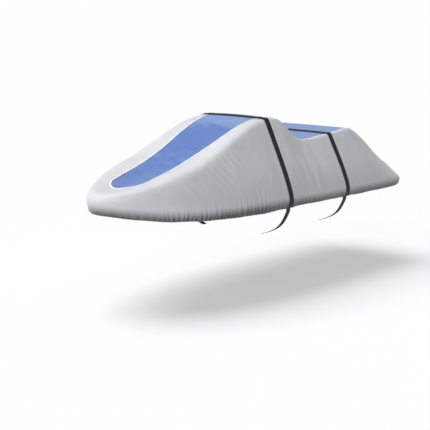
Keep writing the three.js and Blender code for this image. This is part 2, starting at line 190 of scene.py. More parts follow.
# Single folds on both sides: a line from (run, up) to (run, up), its half-width, and how far it
# stands out, or in where that is negative. Run is along the gunwale from the stem, and up is along
# the cloth from the hem. On starboard they lie a little further aft and start lower. Each bows by
# a share of its length.
FOLDS = [
    (880, 400, 1060, 235, 17, 4.0),
    (935, 430, 1110, 250, 16, 5.5),
    (1000, 455, 1160, 275, 16, 4.5),
    (1075, 490, 1195, 315, 15, 5.0),
    (1125, 515, 1235, 340, 15, 5.5),
    (1190, 540, 1275, 385, 14, 3.5),
    (1905, 600, 1935, 320, 38, -7.0),
    (2010, 590, 1985, 340, 34, -5.0),
    (1960, 560, 1962, 300, 24, 1.6),
    (2045, 400, 1955, 90, 18, 2.6),
    (2095, 360, 2020, 80, 17, 2.8),
    (2180, 380, 2095, 60, 18, 2.8),
    (1600, 420, 1500, 160, 20, 3.0),
    (1790, 380, 1830, 130, 20, 3.0),
    (2520, 430, 2600, 180, 24, 2.8),
    (2680, 400, 2820, 200, 26, 3.0),
    (640, 330, 760, 205, 19, 3.0),
    (700, 360, 850, 215, 19, 3.0),
]
STARBOARD_SHIFT = 14
FOLD_BOW = 0.03

# Long waves that hang in the side below the seat: section number and depth.
SIDE_WAVES = [
    (12.6, 0.0), (14.0, 1.6), (15.6, 3.2), (16.8, 3.4), (17.8, 2.2), (18.6, 0.6), (19.4, 0.0),
]

# What a strap does to the cloth: the depth and half-width of its bed, and the height of the welts,
# their distance from its middle and their half-width.
STRAP_BED = (1.2, 29)
STRAP_WELT = (2.8, 47, 15)
# Distance from the hem, half-width and height of the welt and the groove that its sewing makes.
HEM_SEWING = [(9, 8, 1.5), (22, 4, -1.2)]
# Depth and half-width of the groove along the seams round the blue panels.
SEAM_GROOVE = (1.2, 9)
# The folds fade out over this much of the run at either end, and between these distances from the
# crown line.
END_FADE = 90
CROWN_FADE = (60, 160)

# The webbing's mesh and fit, in millimetres: columns across, rows between the hems, the gap to the
# cloth, and height and half-width of its rise over the piping and over the hem.
WEBBING_COLUMNS = 11
WEBBING_ROWS = 150
WEBBING_GAP = 0.4
OVER_PIPING = (2.4, 12)
OVER_HEM = (1.6, 14)

# How high over the cloth the piping's middle lies, as a share of the piping's height, the sides of
# its mesh, and the columns that it leaves out to round the seat panel's rear corner.
PIPING_LIFT = 0.4
PIPING_SIDES = 10
CORNER_COLUMNS = 4

# Sizes of the patterns, in metres. The cloth's real threads are half a millimetre apart and are
# drawn 2.6 mm apart, which is the finest that shows.
THREAD_PITCH = 0.0026
STITCH_HALF_WIDTH = 0.0011
STITCH_PITCH = 0.009
STITCH_SHARE = 0.68
SEAM_STITCHES = 0.0065
HEM_STITCHES = 0.0215
PIPING_RIB = 0.003
WEBBING_RIB = 0.0042
WEBBING_THREAD = 0.0021

# Dark colour mixed in for grime and for painted shade where the cloth turns under at the hem and in
# its creases.
GRIME_AND_SHADE = "#2C2D2F"

# Short for the node that the patterns are worked out with.
MATH = "ShaderNodeMath"
# Sockets of the mix node that carry its share, its two colours and its result.
MIX_SHARE, MIX_FIRST, MIX_SECOND, MIX_RESULT = 0, 6, 7, 2

# Lamps of the studio: the way each shines, how wide it spreads in degrees, and its strength.
LAMPS = {
    "overhead_softbox": ((0.24, -0.34, -0.91), 45, 3.3),
    "bow_softbox": ((0.97, 0.15, -0.15), 60, 1.25),
}
FLOOR_HALF_SIZE = 900.0

# The camera that was solved from the photo: place in metres, angles in degrees, lens and sensor in
# millimetres.
CAMERA_PLACE = (-7.344, -5.966, 0.9245)
CAMERA_AZIMUTH = 49.78
CAMERA_ELEVATION = 10.36
CAMERA_LENS = 100.465
CAMERA_SENSOR = 36


def linear(code):
    """Linear RGBA of an sRGB hex colour."""
    channels = [int(code[i:i + 2], 16) / 255 for i in (1, 3, 5)]
    return (*(c / 12.92 if c <= 0.04045 else ((c + 0.055) / 1.055) ** 2.4 for c in channels), 1.0)


def sections_at(stations):
    """Section measures at any stations, which are section numbers and may lie between sections.
    Past either end the rows repeat in mirror image."""
    i = np.clip(np.floor(stations).astype(int), 0, LAST_SECTION - 1)
    w = (stations - i)[:, None]
    p1, p2 = SECTIONS[i], SECTIONS[i + 1]
    p0 = np.where(i[:, None] > 0, SECTIONS[np.maximum(i - 1, 0)], p2 * SECTION_MIRROR)
    p3 = np.where(i[:, None] + 2 <= LAST_SECTION, SECTIONS[np.minimum(i + 2, LAST_SECTION)],
                  p1 * SECTION_MIRROR)
    m1, m2 = (p2 - p0) / 2, (p3 - p1) / 2
    return ((2 * w**3 - 3 * w**2 + 1) * p1 + (w**3 - 2 * w**2 + w) * m1
            + (3 * w**2 - 2 * w**3) * p2 + (w**3 - w**2) * m2)


def unit(vectors):
    """The vectors at length one."""
    return vectors / np.linalg.norm(vectors, axis=-1, keepdims=True)


def run_of(points):
    """Distance of each point of a path from its first, along the path."""
    paces = np.linalg.norm(np.diff(points, axis=0), axis=1)
    return np.concatenate([[0], np.cumsum(paces)])


def section_curves(stations):
    """Control points of the sections' curves, and where and which way each section runs in plan."""
    crown_x, crown_z, gunwale_x, gunwale_y, gunwale_z, edge, edge_z, corner, bulge = (
        sections_at(stations).T)
    near = sections_at(stations + np.where(stations < AMIDSHIPS, SLOPE_STEP, -SLOPE_STEP))
    slope = (near[:, 1] - crown_z) / (near[:, 0] - crown_x)
    beam = np.hypot(gunwale_x - crown_x, gunwale_y)
    aft, out = (gunwale_x - crown_x) / beam, gunwale_y / beam
    turn = np.stack([edge, edge_z], -1)
    side = np.stack([beam - edge, gunwale_z - edge_z], -1)
    length = np.linalg.norm(side, axis=-1)
    side = unit(side)
    outward = np.stack([-side[:, 1], side[:, 0]], -1)
    top = unit(np.stack([edge, edge_z - crown_z], -1))
    shoulder = np.stack([edge * CROWN_SHARE, crown_z - (crown_z - edge_z) * CROWN_FALL], -1)
    mirrored = np.stack([-shoulder[:, 0], shoulder[:, 1] - 2 * slope * aft * shoulder[:, 0]], -1)
    below = np.minimum(corner / length, TURN_SHARE)
    crown = np.stack([crown_x * 0, crown_z], -1)
    points = [mirrored, crown, shoulder, turn - top * corner[:, None], turn]
    points += [turn + side * (length * share)[:, None] + outward * (bulge * size)[:, None]
               for share, size in ((below, 2 * below), *SWELLS)]
    points += [np.stack([beam + far, gunwale_z - drop], -1) for far, drop in HEM_TURN]
    points.append(2 * points[-1] - points[-2])
    return np.stack(points, 1), crown_x, aft, out


def shell_points(stations, steps):
    """Points of the outer face on the port side, one row for each station."""
    points, crown_x, aft, out = section_curves(stations)
    i = np.clip(np.floor(steps).astype(int), 0, HEM_STEP - 1)
    w = steps - i
    weights = ((1 - w) ** 3, 3 * w**3 - 6 * w**2 + 4, -3 * w**3 + 3 * w**2 + 3 * w + 1, w**3)
    row = np.arange(len(stations))[:, None]
    place = sum(points[row, i + k] * (weight / 6)[..., None] for k, weight in enumerate(weights))
    return np.stack([crown_x[:, None] + aft[:, None] * place[..., 0],
                     -out[:, None] * place[..., 0], place[..., 1]], -1)


ALL_STATIONS = np.linspace(0, LAST_SECTION, 100 * LAST_SECTION + 1)
ALL_CROWN_X = sections_at(ALL_STATIONS)[:, 0]
GUNWALE_STEPS = np.full((len(ALL_STATIONS), 1), float(GUNWALE_STEP))
GUNWALE_RUN = run_of(shell_points(ALL_STATIONS, GUNWALE_STEPS)[:, 0])


def station_at(crown_x):
    """The station at a place along the crown line."""
    return np.interp(crown_x, ALL_CROWN_X, ALL_STATIONS)


def run_at(station):
    """How far along the gunwale from the stem a station lies."""
    return float(np.interp(station, ALL_STATIONS, GUNWALE_RUN))


# Height of the origin, on the inner face of the solids' cloth.
CROWN_AT_ORIGIN = shell_points(np.atleast_1d(station_at(ORIGIN_X)), np.zeros((1, 1)))[0, 0]
ORIGIN = np.array([ORIGIN_X, 0, CROWN_AT_ORIGIN[2] - CLOTH_IN_SOLIDS])


def to_part(points):
    """From the measures above to metres in the part's frame."""
    return (points - ORIGIN) * MM


def smooth_through(rows, steps=12):
    """A smooth run of points through the rows of a table."""
    p = np.array(rows, float)
    padded = np.vstack([p[:1], p, p[-1:]])
    w = np.linspace(0, 1, steps, endpoint=False)[:, None]
    runs = []
    for a, b, c, d in zip(padded, padded[1:], padded[2:], padded[3:]):
        m1, m2 = (c - a) / 2, (d - b) / 2
        runs.append((2 * b - 2 * c + m1 + m2) * w**3 + (3 * c - 3 * b - 2 * m1 - m2) * w**2
                    + m1 * w + b)
    return np.vstack(runs + [p[-1:]])


PANEL_PLAN = np.vstack([smooth_through(HOOD_OUTLINE), smooth_through(SEAT_OUTLINE)[1:]])


def panel_reach(stations):
    """How far from the crown line each section leaves the blue panels, seen from above."""
    _, crown_x, aft, out = section_curves(stations)
    x, y = PANEL_PLAN.T
    reach = []
    for cx, a, o in zip(crown_x, aft, out):
        across = (x - cx) * o - y * a
        reach.append(math.hypot(np.interp(0, across, x) - cx, np.interp(0, across, y)))
    return np.array(reach)


def smoothstep(value, low, high):
    """From 0 at low to 1 at high, with a soft start and a soft end."""
    t = np.clip((value - low) / (high - low), 0, 1)
    return t * t * (3 - 2 * t)


def ridge(offset, width, power=2):
    """1 on a line, falling to nothing past its half-width, more squarely at a higher power."""
    return np.exp(-(offset / width) ** power)


def folded_rows(stations):
    """True for the end rows, which lie folded in the centre plane."""
    return (stations <= 0) | (stations >= LAST_SECTION)


class Layout:
    """Rows of places on the port half, with the measures that folds and seams are drawn by: the
    girth from the crown line, the total to the hem, the distance up from the hem, the distance
    past the panels' seam, and the run along the gunwale."""

    def __init__(self, stations, girths_of):
        self.station = stations[:, None]
        self.run = np.interp(stations, ALL_STATIONS, GUNWALE_RUN)[:, None]
        fine = shell_points(stations, np.tile(SECTION_STEPS, (len(stations), 1)))
        pace = np.linalg.norm(np.diff(fine, axis=1), axis=2)
        girth = np.concatenate([np.zeros((len(stations), 1)), np.cumsum(pace, axis=1)], axis=1)
        self.total = girth[:, -1:]
        end = station_at(PANEL_END_X)
        reach = panel_reach(np.minimum(stations, end))
        breadth = np.linalg.norm(fine[..., :2] - fine[:, :1, :2], axis=2)
        top = SECTION_STEPS <= TOP_STEP
        edge = np.array([np.interp(r, b[top], g[top]) for r, b, g in zip(reach, breadth, girth)])
        share = edge / self.total[:, 0]
        if (stations > end).any():
            share = np.where(stations > end, share_at_end(), share)
        self.edge = (share * self.total[:, 0])[:, None]
        self.girth = girths_of(self)
        self.steps = np.array(
            [np.interp(wanted, g, SECTION_STEPS) for wanted, g in zip(self.girth, girth)])
        self.points = shell_points(stations, self.steps)
        self.normals = self.smooth_normals(stations)
        self.up = self.total - self.girth
        beside = self.girth - self.edge
        behind = np.maximum(0, self.run - run_at(end))
        self.seam = np.where(self.station > end, np.hypot(np.maximum(beside, 0), behind), beside)

    def smooth_normals(self, stations):
        """Outward directions of the smooth shell. On the centre plane they lie in it."""
        inner = np.clip(stations, NORMAL_STEP, LAST_SECTION - NORMAL_STEP)
        along = (shell_points(inner + NORMAL_STEP, self.steps)
                 - shell_points(inner - NORMAL_STEP, self.steps))
        low = np.clip(self.steps - NORMAL_STEP, 0, None)
        high = np.clip(self.steps + NORMAL_STEP, None, HEM_STEP)
        across = shell_points(inner, high) - shell_points(inner, low)
        normals = unit(np.cross(across, along))
        centred = (self.girth < 1e-6) | folded_rows(stations)[:, None]
        normals[..., 1] = np.where(centred, 0, normals[..., 1])
        return unit(normals)


@functools.cache
def share_at_end():
    """Share of the girth that the seat panel takes on its last section, kept towards the stern."""
    layout = Layout(np.array([station_at(PANEL_END_X)]), lambda it: np.zeros((1, 1)))
    return float(layout.edge[0, 0] / layout.total[0, 0])


def cloth_columns(it):
    """Distances from the crown line: over the blue panel to its seam, and on to the hem."""
    ones = np.ones_like(it.edge)
    inner = np.linspace(0, 1, PANEL_COLUMNS)[None, :-1] * (it.edge - SEAM_OFFSETS[-1])
    seam_in = it.edge - SEAM_OFFSETS[::-1] * ones
    seam_out = it.edge + SEAM_OFFSETS * ones
    start, end = it.edge + SEAM_OFFSETS[-1], it.total - HEM_OFFSETS[0]
    side = start + (end - start) * np.linspace(0, 1, SIDE_COLUMNS)[None, 1:-1]
    hem = it.total - HEM_OFFSETS * ones
    return np.concatenate([inner, seam_in, seam_out, side, hem], axis=1)


def rows_between(low, high):
    """Stations from one to another at the row spacing above."""
    runs = np.linspace(run_at(low), run_at(high), RUN_SAMPLES)
    spacing = np.interp(runs, *zip(*ROW_SPACING)) * 1.0
    count = np.concatenate([[0], np.cumsum(np.diff(runs) / spacing[:-1])])
    steps = max(2, math.ceil(count[-1]))
    return np.interp(np.interp(np.linspace(0, count[-1], steps + 1), count, runs),
                     GUNWALE_RUN, ALL_STATIONS)


def swell(along, across, size, seed, waves=7):
    """Soft seeded unevenness from about -1 to 1, in patches of one size."""
    rng = np.random.default_rng(seed)
    value = 0
    for _ in range(waves):
        turn, phase = rng.uniform(0, math.tau, 2)
        pace = math.tau / size * rng.uniform(0.6, 1.3)
        value = value + np.sin(pace * (along * math.cos(turn) + across * math.sin(turn)) + phase)
    return value / (waves / 2)


def gathers(run, up, side):
    """Puckers at the hem: sharp valleys with round cloth between them, dying away upwards. Within a
    zone they fan out, and each leans a little its own way."""
    rng = np.random.default_rng(GATHER_SEEDS[side])
    rise = np.zeros(np.broadcast(run, up).shape)
    for start, stop, spacing, reach, depth in GATHERS:
        at = start
        while at < stop:
            at += spacing * rng.uniform(*PITCH_SPREAD)
            size = depth * rng.uniform(*DEPTH_SPREAD)
            high = reach * rng.uniform(*REACH_SPREAD)
            fan = GATHER_FAN * (2 * at - start - stop) / (stop - start)
            lean = fan + rng.uniform(*LEAN_SPREAD)
            width = spacing * rng.uniform(*WIDTH_SPREAD)
            offset = run - at - lean * up
            taper = np.clip(1 - 0.4 * up / high, 0.5, 1)
            fade = 1 - smoothstep(up, 0.35 * high, 1.1 * high)
            shoulders = ridge(np.abs(offset) - 1.8 * width, width)
            rise += fade * size * (0.4 * shoulders - ridge(offset, width * taper))
    return rise


def folds(run, up, side):
    """The single folds: each bows a little, and dies away towards both of its ends."""
    rise = np.zeros(np.broadcast(run, up).shape)
    shift = STARBOARD_SHIFT if side > 0 else 0
    for from_run, from_up, to_run, to_up, width, height in FOLDS:
        start = np.array([from_run + shift, from_up - shift], float)
        way = np.array([to_run + shift, to_up]) - start
        length = np.linalg.norm(way)
        way /= length
        along = (run - start[0]) * way[0] + (up - start[1]) * way[1]
        off = (run - start[0]) * way[1] - (up - start[1]) * way[0]
        bow = FOLD_BOW * length * np.sin(math.pi * np.clip(along / length, 0, 1))
        starts = smoothstep(along, -0.15 * length, 0.3 * length)
        stops = 1 - smoothstep(along, 0.7 * length, 1.15 * length)
        rise += height * starts * stops * ridge(off - bow, width)
    return rise


def strap_pull(layout, side):
    """The straps press the cloth in and raise a soft welt along either edge. On top the cloth is
    taut, with low welts, and each strap is drawn up a little at its rear edge."""
    x = layout.points[..., 0]
    rise = np.zeros_like(x)
    top = 1 - smoothstep(layout.steps, 2.6, 3.6)
    bed, bed_width = STRAP_BED
    welt, welt_place, welt_width = STRAP_WELT
    for k, middle in enumerate((FRONT_STRAP_X, REAR_STRAP_X)):
        off = x - middle
        uneven = 1 + 0.35 * swell(layout.girth, 0 * x, 240, 31 + 2 * k + (side > 0))
        rise -= bed * ridge(off, bed_width, 4)
        rise += welt * uneven * (1 - 0.8 * top) * ridge(np.abs(off) - welt_place, welt_width)
        rise += 0.07 * off * top * ridge(off, 52, 4)
    return rise


def looseness(layout):
    """How free the cloth is to fold: hardly under a strap, and not at all at either end."""
    x = layout.points[..., 0]
    last = GUNWALE_RUN[-1]
    free = smoothstep(layout.run, 0, END_FADE) * (1 - smoothstep(layout.run, last - END_FADE, last))
    for middle in (FRONT_STRAP_X, REAR_STRAP_X):
        free = free * (1 - 0.95 * ridge(x - middle, 36, 4))
    return free


def side_waves(layout, side):
    """Long waves that hang between the seat and the gunwale."""
    depth = np.interp(layout.station, *zip(*SIDE_WAVES))
    hang = smoothstep(layout.steps, 3.2, 5.0) * (1 - smoothstep(layout.steps, 6.2, 8.0))
    return depth * hang * np.sin(4.4 * layout.station + 0.8 * side)


def bow_band(layout):
    """The slack cloth round the bow lies in one soft roll, with a dip above it further aft."""
    run, up = layout.run, layout.up
    roll = ridge(up - 68 - 0.12 * run, 26) * smoothstep(run, 20, 160)
    dip = ridge(up - 125 - 0.16 * run, 30) * smoothstep(run, 60, 200)
    return (1 - smoothstep(run, 200, 420)) * (2.2 * roll - 1.2 * dip)


def crease(layout, side):
    """The gathers alone, in millimetres, as they lie in the cloth."""
    below = smoothstep(layout.girth, *CROWN_FADE)
    return gathers(layout.run, layout.up, side) * looseness(layout) * below


def relief(layout, side, trimmed=True):
    """How far the cloth stands out from the smooth shell, in millimetres. Trimmed, it also has the
    groove along the seams and the sewing of the hem."""
    x, across = layout.points[..., 0], side * layout.girth
    loose = folds(layout.run, layout.up, side) * smoothstep(layout.girth, *CROWN_FADE)
    loose += side_waves(layout, side)
    loose += 1.5 * swell(x, across, 330, 3) + 0.7 * swell(x, across, 120, 4)
    value = loose * looseness(layout)
    value += crease(layout, side) * (0.2 + 0.8 * smoothstep(layout.up, 10, 80))
    value += strap_pull(layout, side) + bow_band(layout)
    if trimmed:
        depth, width = SEAM_GROOVE
        value -= depth * ridge(layout.seam, width)
        for place, width, height in HEM_SEWING:
            value += height * ridge(layout.up - place, width)
    return value


def both_sides(halves, mirror=False):
    """Full rows from port hem over the crown line to starboard hem, out of the two halves. With
    mirror, the starboard half is points that still lie on port."""
    port, starboard = halves
    if mirror:
        starboard = starboard * ACROSS
    return np.concatenate([port[:, :0:-1], starboard], axis=1)


def smooth_poles(points, poles):
    """Evens out the height of the cloth round the two points where the rows meet at an end."""
    for pole in poles:
        off = points[..., :2] - pole[:2]
        far = np.hypot(off[..., 0], off[..., 1])
        near = far < POLE_REACH
        x, y = off[near].T / POLE_REACH
        terms = np.stack([x * 0 + 1, x, x * x, y * y, x**3, x * y * y], -1)
        height = points[near][:, 2]
        ring = far[near] > POLE_CORE * POLE_REACH
        fit = np.linalg.lstsq(terms[ring], height[ring], rcond=None)[0]
        share = 1 - smoothstep(far[near], POLE_FULL * POLE_REACH, POLE_REACH)
        points[near, 2] = height + share * (terms @ fit - height)
    return points


class Cloth:
    """The whole cloth as one grid, with each point's place, outward direction and measures."""

    def __init__(self, stations):
        layout = Layout(stations, cloth_columns)
        self.layout = layout
        self.stations = stations
        halves = []
        for side in (-1, 1):
            half = layout.points + layout.normals * relief(layout, side)[..., None]
            half[..., 1] = np.where(folded_rows(stations)[:, None], 0, half[..., 1])
            half[:, 0, 1] = 0
            halves.append(half)
        mean = (halves[0][:, 0] + halves[1][:, 0]) / 2
        halves[0][:, 0] = halves[1][:, 0] = mean
        halves = smooth_poles(np.stack(halves), (mean[0], mean[-1]))
        self.points = both_sides(halves, mirror=True)
        self.seam = both_sides([layout.seam] * 2)
        self.up = both_sides([layout.up] * 2)
        self.girth = both_sides([layout.girth] * 2)
        self.crease = both_sides([crease(layout, side) for side in (-1, 1)])
        self.along = self.run_along_columns()

    def run_along_columns(self):
        """Distance along each column from the section amidships, so the weave keeps its scale."""
        pace = np.linalg.norm(np.diff(self.points, axis=0), axis=2)
        run = np.concatenate([np.zeros((1, pace.shape[1])), np.cumsum(pace, axis=0)])
        middle = int(np.argmin(np.abs(self.stations - AMIDSHIPS)))
        return run - run[middle]


def grid_quads(rows, columns, keep=None):
    """Quads between the rows of a grid, all of them or those where keep is true."""
    index = np.arange(rows * columns).reshape(rows, columns)
    quads = np.stack([index[:-1, :-1], index[1:, :-1], index[1:, 1:], index[:-1, 1:]], -1)
    return quads.reshape(-1, 4) if keep is None else quads[keep]


def outward_normals(points, quads):
    """Outward directions at the points of a mesh of quads."""
    a, b, c, d = (points[quads[:, k]] for k in range(4))
    face = np.cross(c - a, d - b)
    normals = np.zeros_like(points)
    for k in range(4):
        np.add.at(normals, quads[:, k], face)
    length = np.linalg.norm(normals, axis=1, keepdims=True)
    return normals / np.where(length > 0, length, 1)


def closed_sheet(outer, inner, quads):
    """Outer face, inner face, and a wall along every free edge. Each quad's first corner is on its
    shorter diagonal in both faces, so both are split alike and neither cuts through the other."""
    count = len(outer)
    a, b, c, d = (outer[quads[:, k]] for k in range(4))
    longer = np.linalg.norm(c - a, axis=1) > np.linalg.norm(d - b, axis=1)
    quads = np.where(longer[:, None], np.roll(quads, -1, axis=1), quads)
    edges = np.concatenate([np.stack([quads[:, k], quads[:, (k + 1) % 4]], -1) for k in range(4)])
    key = np.sort(edges, axis=1)
    _, where, uses = np.unique(key[:, 0] * count + key[:, 1], return_index=True, return_counts=True)
    free = edges[where[uses == 1]]
    walls = np.stack([free[:, 1], free[:, 0], free[:, 0] + count, free[:, 1] + count], -1)
    reverse = quads[:, [0, 3, 2, 1]] + count
    return np.concatenate([outer, inner]), np.concatenate([quads, reverse, walls])


def make_object(name, points, quads, uvs, materials, inner_from=None):
    """A smooth mesh object of quads with UV maps given at its points."""
    used = np.unique(quads)
    renumber = np.zeros(len(points), int)
    renumber[used] = np.arange(len(used))
    mesh = bpy.data.meshes.new(name)
    mesh.from_pydata(points[used].tolist(), [], renumber[quads].tolist())
    corners = quads.ravel()
    for label, values in uvs.items():
        layer = mesh.uv_layers.new(name=label)
        layer.data.foreach_set("uv", values[corners % len(values)].astype(np.float32).ravel())
    for material in materials:
        mesh.materials.append(material)
    if inner_from is not None:
        inside = (quads >= inner_from).all(axis=1).astype(np.int32)
        mesh.polygons.foreach_set("material_index", inside)
    mesh.shade_smooth()
    mesh.set_sharp_from_angle(angle=math.radians(75))
    mesh.validate()
    obj = bpy.data.objects.new(name, mesh)
    bpy.context.scene.collection.objects.link(obj)
    return obj


def weld_folds(cloth, quads):
    """Port and starboard points of a folded end row are the same points."""
    rows, columns = cloth.points.shape[:2]
    same = np.arange(rows * columns)
    for i in np.flatnonzero(folded_rows(cloth.stations)):
        row = same[i * columns:(i + 1) * columns]
        row[columns // 2 + 1:] = row[:columns // 2][::-1]
    return same[quads]


def cloth_object(name, cloth, keep, thickness, materials):
    """The quads of the cloth that keep marks, as a closed sheet with an outer and an inner face."""
    rows, columns = cloth.points.shape[:2]
    quads = weld_folds(cloth, grid_quads(rows, columns, keep))
    points = to_part(cloth.points.reshape(-1, 3))
    inner = points - outward_normals(points, quads) * thickness
    closed, faces = closed_sheet(points, inner, quads)
    uvs = {
        "weave": np.stack([cloth.along, cloth.girth], -1).reshape(-1, 2) * MM,
        "trim": np.stack([np.abs(cloth.seam), cloth.up], -1).reshape(-1, 2) * MM,
        # The crease map holds the gathers' depth, which the grey cloth darkens as painted shade.
        "crease": np.stack([cloth.crease, cloth.girth], -1).reshape(-1, 2) * MM,
    }
    return make_object(name, closed, faces, uvs, materials, inner_from=len(points))


@functools.cache
def laid_cloth():
    """The whole cloth, worked out once, with rows on either side of the panels' cross seam and rear
    seam, and the numbers of the rows past the hood panel and past the seat panel."""
    gap = SEAM_OFFSETS[0]
    seam = [float(station_at(PANEL_SEAM_X + beside)) for beside in (-gap, gap)]
    end = [float(station_at(PANEL_END_X + beside)) for beside in (-gap, gap)]
    hood, seat = rows_between(0, seam[0]), rows_between(seam[1], end[0])
    stern = rows_between(end[1], LAST_SECTION)
    return Cloth(np.concatenate([hood, seat, stern])), len(hood), len(hood) + len(seat)


def inboard(columns, reach):
    """True for the quads that lie within some columns of the crown line."""
    return np.abs(np.arange(columns - 1) - columns // 2 + 0.5) < reach


def add(tree, kind, inputs=(), **settings):
    """Adds a node with its settings. Its inputs come in order or by name, and where one of them is
    a node, that node's first output is linked."""
    node = tree.nodes.new(kind)
    for name, value in settings.items():
        setattr(node, name, value)
    for key, value in inputs.items() if isinstance(inputs, dict) else enumerate(inputs):
        source = value.outputs[0] if isinstance(value, bpy.types.Node) else value
        if isinstance(source, bpy.types.NodeSocket):
            tree.links.new(source, node.inputs[key])
        else:
            node.inputs[key].default_value = source
    return node


def new_material(name):
    """A material with an empty node tree."""
    material = bpy.data.materials.new(name)
    material.use_nodes = True
    material.node_tree.nodes.clear()
    return material, material.node_tree


def finish_surface(tree, inputs):
    """Ends a material's tree with its one shader."""
    shader = add(tree, "ShaderNodeBsdfPrincipled", inputs)
    add(tree, "ShaderNodeOutputMaterial", {"Surface": shader})


def uv_place(tree, layer):
    """The two measures that a UV layer holds, as a node."""
    return add(tree, "ShaderNodeSeparateXYZ", (add(tree, "ShaderNodeUVMap", uv_map=layer),))


def ribs(tree, place, pitch):
    """Height of ribs that lie one pitch in metres apart."""
    turns = add(tree, MATH, (place, math.tau / pitch), operation="MULTIPLY")
    return add(tree, MATH, (turns,), operation="SINE")


def plain_weave(tree):
    """Height of a plain weave, with threads over and under each other, and the place along and
    across the cloth."""
    place = uv_place(tree, "weave")
    waves = [ribs(tree, way, 2 * THREAD_PITCH) for way in place.outputs[:2]]
    return add(tree, MATH, waves, operation="MULTIPLY"), place


def stitches(tree, distance, along, at):
    """Mask of one row of stitches at a distance from a seam, drawn 2.2 mm wide so that it shows."""
    row = add(tree, MATH, (distance, at, STITCH_HALF_WIDTH), operation="COMPARE")
    count = add(tree, MATH, (along, STITCH_PITCH), operation="DIVIDE")
    part = add(tree, MATH, (count,), operation="FRACT")
    dash = add(tree, MATH, (part, STITCH_SHARE), operation="LESS_THAN")
    return add(tree, MATH, (row, dash), operation="MULTIPLY")


def woven_colour(tree, place, weave, patch, base, light, dark):
    """Threads just apart in tone, in soft uneven patches."""
    fine = add(tree, "ShaderNodeTexNoise", {"Vector": place, "Scale": 900.0, "Detail": 2.0})
    tone = add(tree, MATH, (fine, 0.6), operation="MULTIPLY")
    tone = add(tree, MATH, (weave, 0.22, tone), operation="MULTIPLY_ADD")
    tone = add(tree, MATH, (patch, 0.35, tone), operation="MULTIPLY_ADD")
    ramp = add(tree, "ShaderNodeValToRGB", {"Fac": tone})
    stops = ramp.color_ramp.elements
    stops[0].position = 0.1
    stops[0].color = dark
    stops[1].position = 0.9
    stops[1].color = light
    stops.new(0.5).color = base
    return ramp.outputs[0]


def painted_top_sheen(tree, colour, height, sheen_colour):
    """Painted sheen: a lighter colour mixed in where the cloth lies flat and high, for the light it
    catches there.
    """
    normal = add(tree, "ShaderNodeTexCoord").outputs["Normal"]
    facing = add(tree, "ShaderNodeSeparateXYZ", (normal,))
    flat = add(tree, "ShaderNodeMapRange",
               {"Value": facing.outputs[2], "From Min": 0.925, "From Max": 0.97},
               interpolation_type="SMOOTHSTEP")
    high = add(tree, "ShaderNodeMapRange",
               {"Value": height, "From Min": -0.3, "From Max": -0.2, "To Min": 0.35})
    share = add(tree, MATH, (flat, high), operation="MULTIPLY")
    mixed = add(tree, "ShaderNodeMix", {MIX_SHARE: share, MIX_FIRST: colour, MIX_SECOND: sheen_colour},
                data_type="RGBA")
    return mixed.outputs[MIX_RESULT]


def painted_shade_and_grime(tree, up, station, patch, shade_and_soil):
    """How far the dark colour covers the cloth: thick over the hem, where it is painted shade under
    the turn with some grime;
    a light darkening higher up the side; and painted shade in the creases. It reaches highest ahead
    of the console strap, and the light darkening higher up is thin at the bow."""
    climb = add(tree, "ShaderNodeMapRange",
                {"Value": station, "From Min": -1.1, "From Max": -0.5, "To Max": 0.02})
    sink = add(tree, "ShaderNodeMapRange",
               {"Value": station, "From Min": -0.3, "From Max": 0.2, "To Min": 0.02, "To Max": 0.009})
    reach = add(tree, MATH, (climb, sink), operation="MINIMUM")
    above = add(tree, MATH, (up, reach), operation="SUBTRACT")
    low = add(tree, "ShaderNodeMapRange",
              {"Value": above, "From Min": 0.11, "From Max": 0.018, "To Max": shade_and_soil},
              interpolation_type="SMOOTHSTEP")
    # Darker towards the bottom of the side.
    lower_darkening = add(tree, "ShaderNodeMapRange",
               {"Value": up, "From Min": 0.4, "From Max": 0.05, "To Max": 0.16 * shade_and_soil},
               interpolation_type="SMOOTHSTEP")
    thin = add(tree, "ShaderNodeMapRange", {"Value": station, "From Min": -1.25, "From Max": -0.5})
    lower_darkening = add(tree, MATH, (lower_darkening, thin), operation="MULTIPLY")
    cover = add(tree, MATH, (low, lower_darkening), operation="MAXIMUM")
    uneven = add(tree, MATH, (patch, 0.3, 0.85), operation="MULTIPLY_ADD")
    cover = add(tree, MATH, (cover, uneven), operation="MULTIPLY")
    # Painted shade in the creases of the gathers.
    depth = uv_place(tree, "crease")
    crease_shade = add(tree, "ShaderNodeMapRange",
                 {"Value": depth, "From Min": 0.001, "From Max": -0.006, "To Max": 0.22})
    cover = add(tree, MATH, (cover, crease_shade), operation="ADD")
    return add(tree, MATH, (cover, 1.0), operation="MINIMUM")


def buckled(tree, place, strength):
    """Soft buckles of the cloth between its folds, longest up and down."""
    stretched = add(tree, "ShaderNodeMapping", {"Vector": place, "Scale": (1.0, 0.4, 0.22)})
    buckle = add(tree, "ShaderNodeTexNoise",
                 {"Vector": stretched, "Scale": 34.0, "Detail": 3.0, "Roughness": 0.5,
                  "Distortion": 0.4})
    return add(tree, "ShaderNodeBump", {"Strength": strength, "Distance": 0.004, "Height": buckle})


